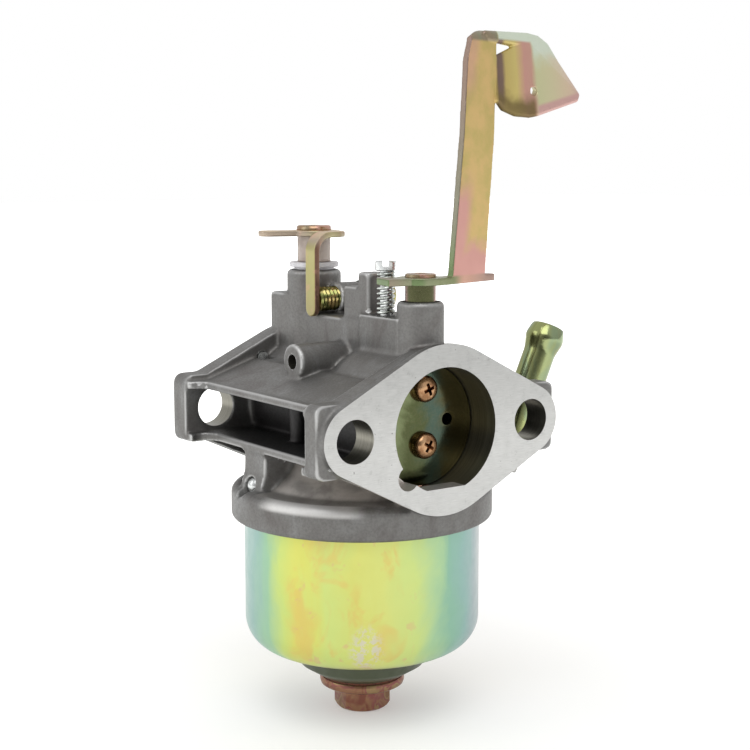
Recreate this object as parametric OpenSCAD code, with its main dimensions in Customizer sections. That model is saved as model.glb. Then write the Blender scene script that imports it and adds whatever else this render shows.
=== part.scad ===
// Float-bowl carburetor of a small single-cylinder engine.
// The origin is the centre of the engine mounting face. The main bore runs
// along Y, air comes in at the -Y face, +Z is up and +X is towards the barb.

/* [Flanges] */
// Distance between the engine face and the air-filter face
face_gap = 55; // [54:0.5:56]
// Distance between the two stud holes
stud_pitch = 42; // [41.5:0.5:42.5]
// Diameter of a stud hole
stud_d = 8.2; // [6.5:0.1:8.2]
// Thickness of the engine flange
engine_flange_t = 4.7; // [4:0.1:5]
// Thickness of the air-filter flange
air_flange_t = 5.8; // [5.4:0.1:6]

/* [Bores] */
// Diameter of the choke bore
choke_bore_d = 24; // [23.6:0.1:24.2]
// Diameter of the throttle bore
throttle_bore_d = 20; // [19:0.1:20.2]
// Diameter of the venturi throat
throat_d = 16.4; // [15:0.1:17]

/* [Bowl] */
// Outer diameter of the float bowl
bowl_d = 48; // [47.6:0.1:48]
// Height of the underside of the bowl ring, below the bore axis
ring_low = 20.9; // [20.5:0.1:21.2]
// Height of the flat bottom of the bowl, below the bore axis
bowl_low = 48.2; // [48:0.1:48.4]
// Wall of the pressed bowl
bowl_wall = 0.9; // [0.7:0.1:1]
// Width across the flats of the bowl bolt
bolt_af = 10; // [9:0.5:11]

/* [Shafts] */
// Diameter of the throttle and choke shafts
shaft_d = 5; // [4.8:0.1:5]
// Radial clearance of a running shaft
running_gap = 0.05; // [0.03:0.01:0.08]
// Distance of the throttle shaft from the engine face
throttle_y = 10; // [9.8:0.1:10.2]
// Distance of the choke shaft from the engine face
choke_y = 46.7; // [46.5:0.1:46.9]

/* [Levers] */
// Sheet thickness of the throttle lever
throttle_sheet = 1.2; // [1.1:0.1:1.4]
// Sheet thickness of the choke lever
choke_sheet = 1.4; // [1.2:0.1:1.5]
// Height of the top of the choke lever above the bore axis
strap_top = 75.2; // [72:0.2:76]

/* [Float] */
// Angle by which the float hangs below its closed position
float_droop = 7; // [5:0.5:7]
// Distance from the float pin to the needle
needle_arm = 5.5; // [5.3:0.1:5.7]

/* [Hidden] */
$fn = 96;

stud_x = stud_pitch / 2;
choke_r = choke_bore_d / 2;
throttle_r = throttle_bore_d / 2;
throat_r = throat_d / 2;
shaft_r = shaft_d / 2;
hole_r = shaft_r + running_gap;

// Bowl side of the body
bowl_y = -27.3;          // bowl axis
bowl_r = bowl_d / 2;
skirt_r = bowl_r + 0.05; // inside of the ring, round the bowl's rim
roof_z = -17.2;          // roof of the float chamber
deck_z = -14.2;          // top of the ring
rim_z = -19.2;           // top edge of the bowl
seat_z = -18.2;          // shoulder the gasket is squeezed against
chamber_r = 22.6;
pillar_r = 5;
cup_z = -54.5;           // outside of the cup under the bowl
flange_z = -57.1;        // underside of the bolt's flange
bolt_low = -61.9;        // underside of the bolt's head
cup_r = 9;

// Tops of the cast bosses
throttle_top = 28;
choke_top = 23.8;
pocket_z = 20.6;
boss_r_throttle = 5.65;
boss_r_choke = 4.55;

// Idle stop screw, along X, in the lug beside the throttle boss
stop_y = -17.8;
stop_z = 22.4;
stop_r = 2.5;
tab_x = -4.7;            // face of the lever tab that meets the screw
lug_x0 = -0.3;
lug_x1 = 5.6;

// Pilot screw, upright in the pocket between the bosses
pilot_x = -2.5;
pilot_y = -38.9;

// Levers
throttle_plate_z = 34.9; // underside of the throttle lever
choke_plate_z = 27;      // underside of the choke lever
strap_turn = 15;         // turn of the strap about Z
strap_front = 4.9;       // distance of the strap's front from the shaft axis

choke_screw_mid = 1.6;   // height of the middle of the choke plate's two screws

// Float
pin_x = 19.5;
pin_z = -24;
pin_r = 1;
needle_x = pin_x - needle_arm;
arm_top = -25.9;         // top of the float arm when the needle is shut
needle_drop = needle_arm * sin(float_droop);

// Fuel barb, leaning outwards behind the right ear
barb_foot = [30.9, -36, -10];
barb_lean = 25;
barb_len = 30;

// Extrusions of a flat shape drawn in X and Z, from y towards the air side
module toward_air(y) translate([0, y, 0]) rotate([90, 0, 0]) children();
module toward_x(p) translate(p) rotate([0, 90, 0]) children();
module at_bowl(z) translate([0, bowl_y, z]) children();
module at_throttle(z = 0) translate([0, -throttle_y, z]) children();
module at_choke(z = 0) translate([0, -choke_y, z]) children();
module at_barb() translate(barb_foot) rotate([0, barb_lean, 0]) children();
module at_pilot(z) translate([pilot_x, pilot_y, z]) children();

// Centre disc joined to two round ears by straight flanks
module oval_outline(mid_r, ear_r) {
  a = asin((mid_r - ear_r) / stud_x);
  circle(mid_r);
  for (s = [-1, 1]) {
    translate([s * stud_x, 0]) circle(ear_r);
    polygon([[0, mid_r * cos(a)], [s * mid_r * sin(a), mid_r * cos(a)],
      [s * (stud_x + ear_r * sin(a)), ear_r * cos(a)],
      [s * (stud_x + ear_r * sin(a)), -ear_r * cos(a)],
      [s * mid_r * sin(a), -mid_r * cos(a)], [0, -mid_r * cos(a)]]);
  }
}

module rounded_box_outline(w, h, r) {
  square([w - 2 * r, h], center = true);
  square([w, h - 2 * r], center = true);
  for (x = [-1, 1], y = [-1, 1])
    translate([x * (w / 2 - r), y * (h / 2 - r)]) circle(r, $fn = 32);
}

// Centre disc with two square-ended ears
module square_ear_outline(mid_r, end_x, ear_h, corner_r) {
  rise = 24.6;
  circle(mid_r);
  rounded_box_outline(2 * end_x, 2 * ear_h, corner_r);
  for (s = [-1, 1], t = [-1, 1])
    polygon([[0, 0], [0, t * mid_r * cos(rise)],
      [s * mid_r * sin(rise), t * mid_r * cos(rise)],
      [s * (mid_r - ear_h * cos(rise)) / sin(rise), t * ear_h],
      [s * stud_x, 0]]);
}

module stud_holes() {
  for (s = [-1, 1]) toward_air(1) translate([s * stud_x, 0, 0])
    cylinder(h = face_gap + 2, r = stud_d / 2);
}

// Upright slab with rounded corners, x and y spans, from z0 to z1
module slab(x0, x1, y0, y1, z0, z1, r = 0.8) {
  translate([(x0 + x1) / 2, (y0 + y1) / 2, z0])
    linear_extrude(z1 - z0) rounded_box_outline(x1 - x0, y1 - y0, r);
}

module flanges() {
  toward_air(0) linear_extrude(engine_flange_t)
    square_ear_outline(15.9, 28.3, 7, 2.2);
  toward_air(-face_gap + 1.8) linear_extrude(1.8) oval_outline(16.4, 6.8);
  toward_air(-face_gap + air_flange_t) linear_extrude(air_flange_t - 1.6)
    square_ear_outline(15.7, 28.4, 6.9, 1.7);
}

// Webs above and below the studs, with their outer edges scooped
module web(z_out0, z_out1, z_in, edge_x) {
  difference() {
    toward_air(-2) linear_extrude(face_gap - 5)
      polygon([[8, z_out0], [28, z_out0], [28, z_out1], [edge_x - 2, z_out1],
        [12, z_in], [8, z_in]]);
    for (y = [-9, -face_gap + 10]) translate([edge_x + 3, y, -20]) cylinder(h = 40, r = 3);
    translate([edge_x, -face_gap + 10, -20]) cube([9, face_gap - 19, 40]);
  }
}

module webs() {
  for (s = [0, 1]) mirror([s, 0, 0]) {
    web(4.3, 5.8, 9.4, 25);
    web(-4.9, -6.6, -9.5, 23);
  }
  // Upright post that carries the float-chamber vent, between the webs
  translate([-14.9, -26.5, -7]) cylinder(h = 14.5, r1 = 1.5, r2 = 1.9);
}

module barrel() {
  toward_air(-3) cylinder(h = 27, r = 12.8);
  toward_air(-29) cylinder(h = 5, r1 = 12.8, r2 = 14.6);
  toward_air(-33.9) cylinder(h = face_gap - 37, r = 14.6);
}

module top_bosses() {
  at_throttle(5) cylinder(h = throttle_top - 5 - 0.6, r = boss_r_throttle);
  at_throttle(throttle_top - 0.6) cylinder(h = 0.6, r1 = boss_r_throttle, r2 = boss_r_throttle - 0.6);
  slab(-5.8, 5.8, -throttle_y, -1.3, 6, 23, 1.2);
  // Spine under the screws, then deck, raised block and pocket floor
  slab(-4.6, 5.6, -36, -throttle_y, 6, 19.3);
  slab(-4.1, 0.6, -33, -26.4, 12, 25.6);
  slab(-4.1, 0.6, -35.2, -31.4, 12, 28.7);
  slab(-5.1, 4.6, -choke_y, -33, 6, pocket_z);
  at_choke(8) cylinder(h = choke_top - 8 - 0.5, r = boss_r_choke);
  at_choke(choke_top - 0.5) cylinder(h = 0.5, r1 = boss_r_choke, r2 = boss_r_choke - 0.5);
  // Lug that carries the idle stop screw
  slab(1.8, lug_x1, -27, -13.6, 12, stop_z);
  toward_x([lug_x0, stop_y, stop_z]) cylinder(h = lug_x1 - lug_x0, r = 3.2);
  slab(0.2, lug_x1, -27.6, -22, 12, 25.2);
  // Bowl vent
  toward_x([-16.5, -27, 11.3]) cylinder(h = 14, r = 3.5);
}

module bowl_cover() {
  at_bowl(-ring_low) cylinder(h = 0.5, r1 = bowl_r + 2.1, r2 = bowl_r + 2.6);
  at_bowl(-ring_low + 0.5) cylinder(h = ring_low - 16, r = bowl_r + 2.6);
  at_bowl(-15.5) cylinder(h = 0.8, r1 = bowl_r + 2.6, r2 = bowl_r + 2);
  at_bowl(-14.7) cylinder(h = 0.6, r1 = bowl_r + 2, r2 = bowl_r + 0.8);
  at_bowl(deck_z - 0.1) cylinder(h = 3.2, r1 = 21.5, r2 = 17.5);
  at_bowl(deck_z + 3) cylinder(h = 4, r1 = 17.5, r2 = 14.5);
  // Drilled boss on the left, closed by a ball
  toward_air(-18.3) linear_extrude(7.8)
    polygon([[-14, -5.5], [-22.4, -5.5], [-22.6, -11], [-24.4, -17], [-14, -17]]);
}

module inlet_boss() {
  at_barb() translate([0, 0, -4]) cylinder(h = 6.8, r = 3.8);
  slab(14, 27.5, -36.2, -28.5, -16.4, -8.6, 1.2);
  slab(20, 30.6, -38.6, -31.5, -14.4, -8.6, 1.2);
}

module chamber_posts() {
  at_bowl(cup_z + bowl_wall) cylinder(h = roof_z - cup_z, r = pillar_r);
  translate([needle_x, bowl_y, -21.8]) cylinder(h = 5, r = 4.4);
  translate([8.6, bowl_y - 12, -21]) cylinder(h = 5, r = 2.6);
  for (s = [-1, 1]) translate([pin_x - 1.9, bowl_y + s * 5.4 - 1.2, pin_z - 2.2])
    cube([3.8, 2.4, 10]);
}

module main_bores() {
  toward_air(-33.5) cylinder(h = face_gap - 33, r = choke_r);
  toward_air(-28.6) cylinder(h = 5, r1 = throat_r, r2 = choke_r);
  toward_air(-25.4) cylinder(h = 3.3, r = throat_r);
  toward_air(-17.5) cylinder(h = 8, r1 = throttle_r, r2 = throat_r);
  toward_air(1) cylinder(h = 18.6, r = throttle_r);
}

// Flat land across the bottom of the choke bore's mouth
module mouth_land() {
  toward_air(-face_gap + 3.8) linear_extrude(3.8) intersection() {
    circle(choke_r + 0.2);
    translate([-9, -choke_r - 1]) square([18, 1.9]);
  }
}

module carb_body() color([0.56, 0.57, 0.58]) difference() {
  union() {
    difference() {
      union() {
        flanges();
        webs();
        barrel();
        top_bosses();
        bowl_cover();
        inlet_boss();
      }
      main_bores();
      // Float chamber and the skirt round the bowl's rim
      at_bowl(-ring_low - 1) cylinder(h = roof_z + ring_low + 1, r = chamber_r);
      at_bowl(-ring_low - 1) cylinder(h = seat_z + ring_low + 1, r = skirt_r);
    }
    mouth_land();
    chamber_posts();
  }
  stud_holes();
  // Relief at the lower left of the mouth
  toward_air(-face_gap + 4) translate([-8.9, -8.2, 0]) cylinder(h = 5, r = 2.4);
  // Shaft holes
  at_throttle(-13) cylinder(h = 45, r = hole_r);
  at_choke(-15.2) cylinder(h = 45, r = hole_r);
  at_choke(choke_top - 1.6) cylinder(h = 2, r = 3.9);
  // Idle stop screw
  toward_x([-4, stop_y, stop_z]) cylinder(h = 12, r = stop_r + running_gap);
  // Pilot screw, its thread and its drilling to the throttle bore
  at_pilot(15.6) cylinder(h = 8, r = 1.75 + running_gap);
  at_pilot(13.85) cylinder(h = 1.8, r1 = 0.4, r2 = 1.3);
  translate([pilot_x, pilot_y, 14.4]) rotate([-99.6, 0, 4.8]) cylinder(h = 33, r = 0.7);
  // Vent, from its boss down the post to the float chamber
  toward_x([-17, -27, 11.3]) cylinder(h = 4.4, r = 1.5);
  translate([-14.9, -26.5, -18]) cylinder(h = 29.4, r = 0.8);
  // Jets and nozzle in the pillar
  at_bowl(-58) cylinder(h = 15.5, r = 3);
  at_bowl(-43.5) cylinder(h = 38.5, r = 2.5);
  at_bowl(-44) rotate([0, 90, 40]) cylinder(h = 12, r = 1, center = true);
  translate([8.6, bowl_y - 12, -22]) cylinder(h = 7, r = 1.5);
  // Fuel way from the barb to the needle seat
  at_barb() translate([0, 0, -2]) cylinder(h = 8, r = 3);
  at_barb() translate([0, 0, -3.5]) cylinder(h = 3, r = 1.3);
  translate([needle_x, bowl_y, -22]) cylinder(h = 6, r = 3);
  translate([needle_x, bowl_y, -15.2]) rotate([0, 80.2, -27.9]) translate([0, 0, -1.2])
    cylinder(h = 20, r = 1.2);
  // Float pin
  translate([pin_x, bowl_y + 8, pin_z]) rotate([90, 0, 0]) cylinder(h = 16, r = pin_r);
  // Ball seats
  toward_x([-26, -21.6, -13.7]) cylinder(h = 6.4, r = 1.85);
  translate([-9.6, -engine_flange_t - 3, 9.3]) rotate([-90, 0, 0]) cylinder(h = 6.7, r = 1.3);
}

module passage_plugs() color([0.8, 0.81, 0.82]) {
  toward_x([-21.6, -21.6, -13.7]) cylinder(h = 1.6, r = 1.85);
  translate([-21.6, -21.6, -13.7]) sphere(1.85);
  translate([-9.6, -engine_flange_t - 0.3, 9.3]) rotate([-90, 0, 0]) cylinder(h = 4, r = 1.3);
}

module fuel_inlet_tube() color([0.74, 0.78, 0.42]) at_barb() difference() {
  union() {
    translate([0, 0, -2]) cylinder(h = 5.5, r = 3);
    translate([0, 0, 3.1]) cylinder(h = barb_len - 9, r = 3.4);
    translate([0, 0, barb_len - 8]) cylinder(h = 2.8, r1 = 3.4, r2 = 4.1);
    translate([0, 0, barb_len - 5.2]) cylinder(h = 1, r = 4.1);
    translate([0, 0, barb_len - 4.2]) cylinder(h = 2.2, r1 = 4.1, r2 = 3.4);
  }
  translate([0, 0, -3]) cylinder(h = barb_len + 4, r = 1.9);
}

// Half-round seat for a butterfly plate, and the two screw holes through it
module shaft_flat(r) {
  translate([-shaft_r - 1, -shaft_r - 1, -r]) cube([shaft_d + 2, shaft_r + 1, 2 * r]);
}

module plate_screw_holes(z, mid = 0) {
  for (s = [-1, 1]) translate([0, 4, mid + s * z]) rotate([90, 0, 0]) cylinder(h = 8, r = 1.25);
}

module throttle_shaft() color([0.78, 0.62, 0.42]) at_throttle() difference() {
  union() {
    translate([0, 0, -12.8]) cylinder(h = throttle_plate_z + 14, r = shaft_r);
    translate([0, 0, throttle_plate_z + throttle_sheet]) cylinder(h = 1, r = 3.6);
  }
  shaft_flat(throttle_r - 0.1);
  plate_screw_holes(5);
}

module throttle_plate() color([0.78, 0.68, 0.36]) at_throttle() difference() {
  rotate([90, 0, 0]) cylinder(h = 0.9, r = throttle_r - 0.13);
  plate_screw_holes(5);
}

// Pan-head screw, head towards the air side, with a cross recess
module plate_screw() rotate([90, 0, 0]) {
  translate([0, 0, -2.2]) cylinder(h = 3.1, r = 1.25);
  translate([0, 0, 0.9]) difference() {
    union() {
      cylinder(h = 1.3, r = 2.5);
      translate([0, 0, 1.3]) cylinder(h = 0.6, r1 = 2.5, r2 = 1.6);
    }
    for (a = [0, 90]) rotate(a) translate([-1.4, -0.3, 0.9]) cube([2.8, 0.6, 2]);
  }
}

module throttle_plate_screws() color([0.8, 0.6, 0.4])
  at_throttle() for (s = [-1, 1]) translate([0, 0, s * 5]) plate_screw();

module throttle_lever() color([0.78, 0.74, 0.42]) at_throttle() difference() {
  union() {
    translate([0, 0, throttle_plate_z]) linear_extrude(throttle_sheet) {
      circle(5);
      rotate(-15) {
        translate([-9.6, -2.4]) square([9.6, 4.8]);
        translate([-9.6, 0]) circle(2.4);
        translate([0, -2.2]) square([4, 4.4]);
        translate([3.4, 0]) rounded_box_outline(3, 4.4, 0.8);
      }
      polygon([[-2, -9.3], [0.6, -9.3], [2.2, -8.3], [4.2, -3.4], [0, 0], [-2, -3]]);
    }
    // Bend and tab that comes down to the idle stop screw
    translate([-2, -9.3, throttle_plate_z + throttle_sheet - 4]) rotate([-90, 0, 0])
      linear_extrude(3.5) difference() {
        intersection() {
          circle(4);
          translate([-5, -5]) square(5);
        }
        circle(2.7);
      }
    translate([tab_x - 1.3, -9.3, 20.6]) cube([1.3, 3.5, throttle_plate_z + throttle_sheet - 24.6]);
    translate([tab_x - 1.3, -7.55, 20.6]) rotate([0, 90, 0]) cylinder(h = 1.3, r = 1.75);
  }
  translate([0, 0, 30]) cylinder(h = 8, r = shaft_r);
  rotate(-15) translate([-9.6, 0, 30]) cylinder(h = 8, r = 1.1);
}

module throttle_collar() color([0.8, 0.78, 0.76]) at_throttle(throttle_top + 1.55) difference() {
  cylinder(h = throttle_plate_z - throttle_top - 1.55, r = 3.45);
  translate([0, 0, -1]) cylinder(h = 9, r = shaft_r);
}

module throttle_washer() color([0.93, 0.93, 0.92]) at_throttle(throttle_top) difference() {
  union() {
    cylinder(h = 0.6, r = 4.2);
    translate([0, 0, 0.5]) cylinder(h = 1, r = 5.15);
  }
  translate([0, 0, -1]) cylinder(h = 4, r = hole_r);
}

module idle_stop_screw() color([0.76, 0.68, 0.3]) toward_x([tab_x + 0.02, stop_y, stop_z]) {
  difference() {
    union() {
      cylinder(h = 0.6, r1 = stop_r - 0.6, r2 = stop_r);
      translate([0, 0, 0.6]) cylinder(h = 15.6, r = stop_r);
      translate([0, 0, 15.6]) cylinder(h = 2.6, r = 3.7);
    }
    for (a = [0, 90]) rotate(a) translate([-2, -0.4, 16.8]) cube([4, 0.8, 3]);
  }
}

// Helical spring of round wire along +Z, with its first and last turns closed
module coil(r, wire_r, turns, h, steps = 16, sides = 6) {
  n = turns * steps;
  function rise(i) = let (t = i / steps)
    2 * wire_r * min(t, 1) + 2 * wire_r * max(0, t - turns + 1)
    + (h - 6 * wire_r) * min(1, max(0, (t - 1) / (turns - 2)));
  pts = [for (i = [0:n], k = [0:sides - 1])
    let (a = 360 * i / steps, b = 360 * k / sides, q = r + wire_r * cos(b))
      [q * cos(a), q * sin(a), wire_r + rise(i) + wire_r * sin(b)]];
  side_faces = [for (i = [0:n - 1], k = [0:sides - 1])
    [i * sides + k, i * sides + (k + 1) % sides,
      (i + 1) * sides + (k + 1) % sides, (i + 1) * sides + k]];
  polyhedron(pts, concat(side_faces,
    [[for (k = [sides - 1:-1:0]) k]], [[for (k = [0:sides - 1]) n * sides + k]]));
}

module idle_stop_spring() color([0.72, 0.73, 0.74])
  toward_x([lug_x1, stop_y, stop_z]) coil(3.05, 0.4, 5, tab_x + 15.6 - lug_x1);

module choke_shaft() color([0.82, 0.66, 0.45]) at_choke() difference() {
  union() {
    translate([0, 0, -15]) cylinder(h = choke_plate_z + choke_sheet + 15, r = shaft_r);
    translate([0, 0, choke_top + 0.1]) cylinder(h = choke_plate_z - choke_top - 0.1, r = 2.9);
    translate([0, 0, choke_plate_z + choke_sheet]) cylinder(h = 0.7, r = 3);
  }
  shaft_flat(choke_r - 0.1);
  plate_screw_holes(5.5, choke_screw_mid);
}

module choke_plate() color([0.5, 0.6, 0.3]) at_choke() difference() {
  rotate([90, 0, 0]) cylinder(h = 0.9, r = choke_r - 0.15);
  plate_screw_holes(5.5, choke_screw_mid);
  translate([5.9, 1, 0.6]) rotate([90, 0, 0]) cylinder(h = 3, r = 1.25);
}

module choke_plate_screws() color([0.8, 0.58, 0.38])
  at_choke() for (s = [-1, 1]) translate([0, 0, choke_screw_mid + s * 5.5]) plate_screw();

// Thin panel between corner points
module panel(points) hull() for (p = points) translate(p) sphere(0.6, $fn = 16);

// Curved sheet made of three thin panels that share the first corner
module flag_fan(p) {
  panel([p[0], p[1], p[2], p[3], p[4]]);
  panel([p[0], p[4], p[5]]);
  panel([p[0], p[5], p[6], p[7], p[8]]);
}

// Rolled-over top of the strap; its left end is cut back as it bends
module strap_roll(steps = 15) {
  r = 2.2;
  pts = [for (i = [0:steps])
    let (t = 90 * i / steps, x = max(0, 6.1 - 3.1 * r * cos(t)))
      for (q = [[x, r], [8.1, r], [8.1, r - choke_sheet], [x, r - choke_sheet]])
        [q[0], -q[1] * cos(t), q[1] * sin(t)]];
  sides = [for (i = [0:steps - 1], k = [0:3], half = [0, 1])
    let (a = 4 * i + k, b = 4 * i + (k + 1) % 4)
      half == 0 ? [a, a + 4, b + 4] : [a, b + 4, b]];
  polyhedron(pts, concat([[0, 1, 2, 3]], sides, [[for (k = [3:-1:0]) 4 * steps + k]]));
}

module choke_lever() color([0.84, 0.7, 0.4]) difference() {
  union() {
    // Plate on the shaft, with its stop arm to the left
    at_choke(choke_plate_z) linear_extrude(choke_sheet) {
      circle(4.7);
      rotate(-12) translate([-8.2, -3.3]) square([8.2, 5.6]);
      rotate(strap_turn) translate([0, -strap_front]) square([17.6, 3.7]);
    }
    // Strap, standing on the plate's front edge
    at_choke() rotate(strap_turn) translate([0, -strap_front, 0]) {
      translate([0, choke_sheet, 0]) rotate([90, 0, 0]) linear_extrude(choke_sheet)
        polygon([[3.6, choke_plate_z], [14.3, choke_plate_z], [17.1, 55.2], [17.5, 69.5],
          [17.5, strap_top - 2.2], [9.4, strap_top - 2.2], [8.2, 69.5], [7.2, 55.2]]);
      translate([9.4, 2.2, strap_top - 2.2]) strap_roll();
    }
    // Finger flag: web, upright near part and curved outer part
    panel([[14.9, -47.2, 74.5], [15.4, -47.2, 73.6], [19.3, -45.6, 74.6], [29, -43.2, 75],
      [28.1, -44.8, 73], [23.4, -45.3, 73]]);
    panel([[18.8, -46.3, 70.2], [24.9, -45.4, 72.6], [27.9, -45.1, 72.9], [28, -45.4, 72],
      [26.4, -47.1, 59.3], [22.8, -47, 59.5], [19.8, -46.9, 60.5], [18.4, -46.9, 62]]);
    flag_fan([[27.9, -45.1, 72.9], [26.4, -47.1, 59.3], [28, -47.5, 59.6], [40.3, -45.6, 62.7],
      [40.9, -45.3, 63.6], [37.2, -43, 69.9], [35.2, -42, 73.4], [32.4, -42.4, 74.7], [29, -43.2, 75]]);
  }
  at_choke(20) cylinder(h = 10, r = shaft_r);
  translate([27.7, -46.4, 64.1]) rotate([-74, 0, 0]) cylinder(h = 8, r = 0.8, center = true);
}

module choke_shaft_seal() color([0.25, 0.24, 0.23]) at_choke(choke_top - 1.6) difference() {
  cylinder(h = 1.6, r = 3.9);
  translate([0, 0, -1]) cylinder(h = 4, r = hole_r);
}

module pilot_screw() color([0.75, 0.76, 0.77]) at_pilot(0) difference() {
  union() {
    translate([0, 0, 13.9]) cylinder(h = 1.7, r1 = 0.35, r2 = 1.2);
    translate([0, 0, 15.6]) cylinder(h = 14, r = 1.1);
    translate([0, 0, 16.4]) cylinder(h = 3.6, r = 1.75);
    translate([0, 0, 29.3]) cylinder(h = 1.9, r = 2.1);
  }
  rotate(54) translate([-3, -0.6, 30]) cube([6, 1.2, 3]);
}

module pilot_screw_spring() color([0.78, 0.79, 0.8])
  at_pilot(pocket_z) coil(1.5, 0.32, 9, 29.3 - pocket_z);

module pilot_jet() color([0.8, 0.66, 0.32]) translate([8.6, bowl_y - 12, -21.6]) difference() {
  union() {
    cylinder(h = 6, r = 1.5);
    translate([0, 0, -1]) cylinder(h = 1.6, r = 2.2);
  }
  translate([0, 0, -2]) cylinder(h = 9, r = 0.3, $fn = 24);
  translate([-3, -0.3, -2]) cube([6, 0.6, 1.6]);
}

// Solid of the bowl's outside, pulled in by t
module bowl_form(t) {
  r = bowl_r - t;
  corner = 6.5 - t;
  at_bowl(-bowl_low + 6.5) cylinder(h = bowl_low - 6.5 + rim_z, r = r);
  at_bowl(-bowl_low + 6.5) rotate_extrude() translate([r - corner, 0]) circle(corner);
  at_bowl(-bowl_low + t) cylinder(h = 9, r = r - corner);
  at_bowl(cup_z + t) cylinder(h = 2.4, r1 = cup_r - t, r2 = 12.5 - t);
  at_bowl(cup_z + t + 2.4) cylinder(h = 4.2, r1 = 12.5 - t, r2 = 14.6 - t);
}

module float_bowl() color([0.72, 0.8, 0.45]) difference() {
  bowl_form(0);
  difference() {
    union() {
      bowl_form(bowl_wall);
      at_bowl(-30) cylinder(h = 14, r = bowl_r - bowl_wall);
    }
  }
  at_bowl(cup_z - 1) cylinder(h = 4, r = 3.2);
}

module bowl_gasket() color([0.1, 0.1, 0.1]) at_bowl(rim_z) difference() {
  cylinder(h = seat_z - rim_z, r = bowl_r);
  translate([0, 0, -1]) cylinder(h = 4, r = bowl_r - 1.3);
}

module bowl_bolt() color([0.75, 0.35, 0.27]) at_bowl(0) {
  translate([0, 0, flange_z]) cylinder(h = cup_z - 0.6 - flange_z, r = 8.75);
  translate([0, 0, bolt_low]) rotate(20)
    cylinder(h = flange_z - bolt_low, r = bolt_af / 2 / cos(30), $fn = 6);
  translate([0, 0, cup_z - 0.7]) cylinder(h = 10.4, r = 3);
}

module bowl_bolt_washer() color([0.55, 0.3, 0.2]) at_bowl(cup_z - 0.6) difference() {
  cylinder(h = 0.6, r = 8.4);
  translate([0, 0, -1]) cylinder(h = 3, r = 3.2);
}

// Float in its closed position, then let down by the droop angle
module float() color([0.25, 0.22, 0.2])
  translate([pin_x, bowl_y, pin_z]) rotate([0, -float_droop, 0]) translate([-pin_x, 0, -pin_z])
  difference() {
    union() {
      translate([-0.8, 0, -41]) difference() {
        cylinder(h = 11, r = 19);
        translate([0, 0, -1]) cylinder(h = 14, r = 8.8);
      }
      translate([9.8, -3.4, -31]) cube([3, 6.8, 31 + arm_top]);
      translate([9.8, -3.4, arm_top - 1.4]) cube([pin_x - 9.8, 6.8, 1.4]);
      translate([pin_x, 3.9, pin_z]) rotate([90, 0, 0]) cylinder(h = 7.8, r = 2.2);
      translate([pin_x - 2.2, -3.9, arm_top - 1.4]) cube([2.6, 7.8, 2.4]);
    }
    translate([pin_x, 9, pin_z]) rotate([90, 0, 0]) cylinder(h = 18, r = pin_r + running_gap);
  }

module float_pin() color([0.75, 0.75, 0.76])
  translate([pin_x, bowl_y + 7.6, pin_z]) rotate([90, 0, 0]) cylinder(h = 15.2, r = pin_r);

module needle_valve() color([0.5, 0.5, 0.5])
  translate([needle_x, bowl_y, arm_top - needle_drop + 0.03]) {
    cylinder(h = 0.6, r1 = 0.3, r2 = 1);
    translate([0, 0, 0.6]) cylinder(h = 0.6, r = 1);
    translate([0, 0, 1.2]) cylinder(h = 6.1, r = 1.7);
    translate([0, 0, 7.3]) cylinder(h = 1.9, r1 = 1.7, r2 = 0.4);
  }

module needle_seat() color([0.8, 0.66, 0.32]) translate([needle_x, bowl_y, -22.6]) difference() {
  union() {
    translate([0, 0, 0.8]) cylinder(h = 5.6, r = 3);
    cylinder(h = 0.8, r = 3.8);
  }
  translate([0, 0, -1]) cylinder(h = 5, r = 1.7 + running_gap);
  translate([0, 0, 4]) cylinder(h = 1.4, r1 = 1.75, r2 = 0.8);
  translate([0, 0, 4]) cylinder(h = 4, r = 0.8);
}

module main_jet() color([0.8, 0.66, 0.32]) at_bowl(-42.6) difference() {
  cylinder(h = 4.6, r = 2.5);
  translate([0, 0, -1]) cylinder(h = 7, r = 0.45, $fn = 24);
  translate([-3, -0.4, -1]) cube([6, 0.8, 1.8]);
}

module main_nozzle() color([0.82, 0.69, 0.36]) at_bowl(-37.9) difference() {
  union() {
    cylinder(h = 30.1, r = 2.5);
    translate([0, 0, 30.1]) cylinder(h = 5.4, r = 1.7);
  }
  translate([0, 0, -1]) cylinder(h = 41, r = 1);
  for (z = [5, 9, 13, 17]) translate([0, 0, z]) rotate([90, 0, z * 9])
    cylinder(h = 8, r = 0.3, center = true, $fn = 16);
}

carb_body();
passage_plugs();
fuel_inlet_tube();
throttle_shaft();
throttle_plate();
throttle_plate_screws();
throttle_lever();
throttle_collar();
throttle_washer();
idle_stop_screw();
idle_stop_spring();
choke_shaft();
choke_plate();
choke_plate_screws();
choke_lever();
choke_shaft_seal();
pilot_screw();
pilot_screw_spring();
pilot_jet();
float_bowl();
bowl_gasket();
bowl_bolt();
bowl_bolt_washer();
float();
float_pin();
needle_valve();
needle_seat();
main_jet();
main_nozzle();
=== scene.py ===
from math import atan2, cos, degrees, pi, radians, sin, tan
import bmesh
import bpy
from mathutils import Matrix, Vector


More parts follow.
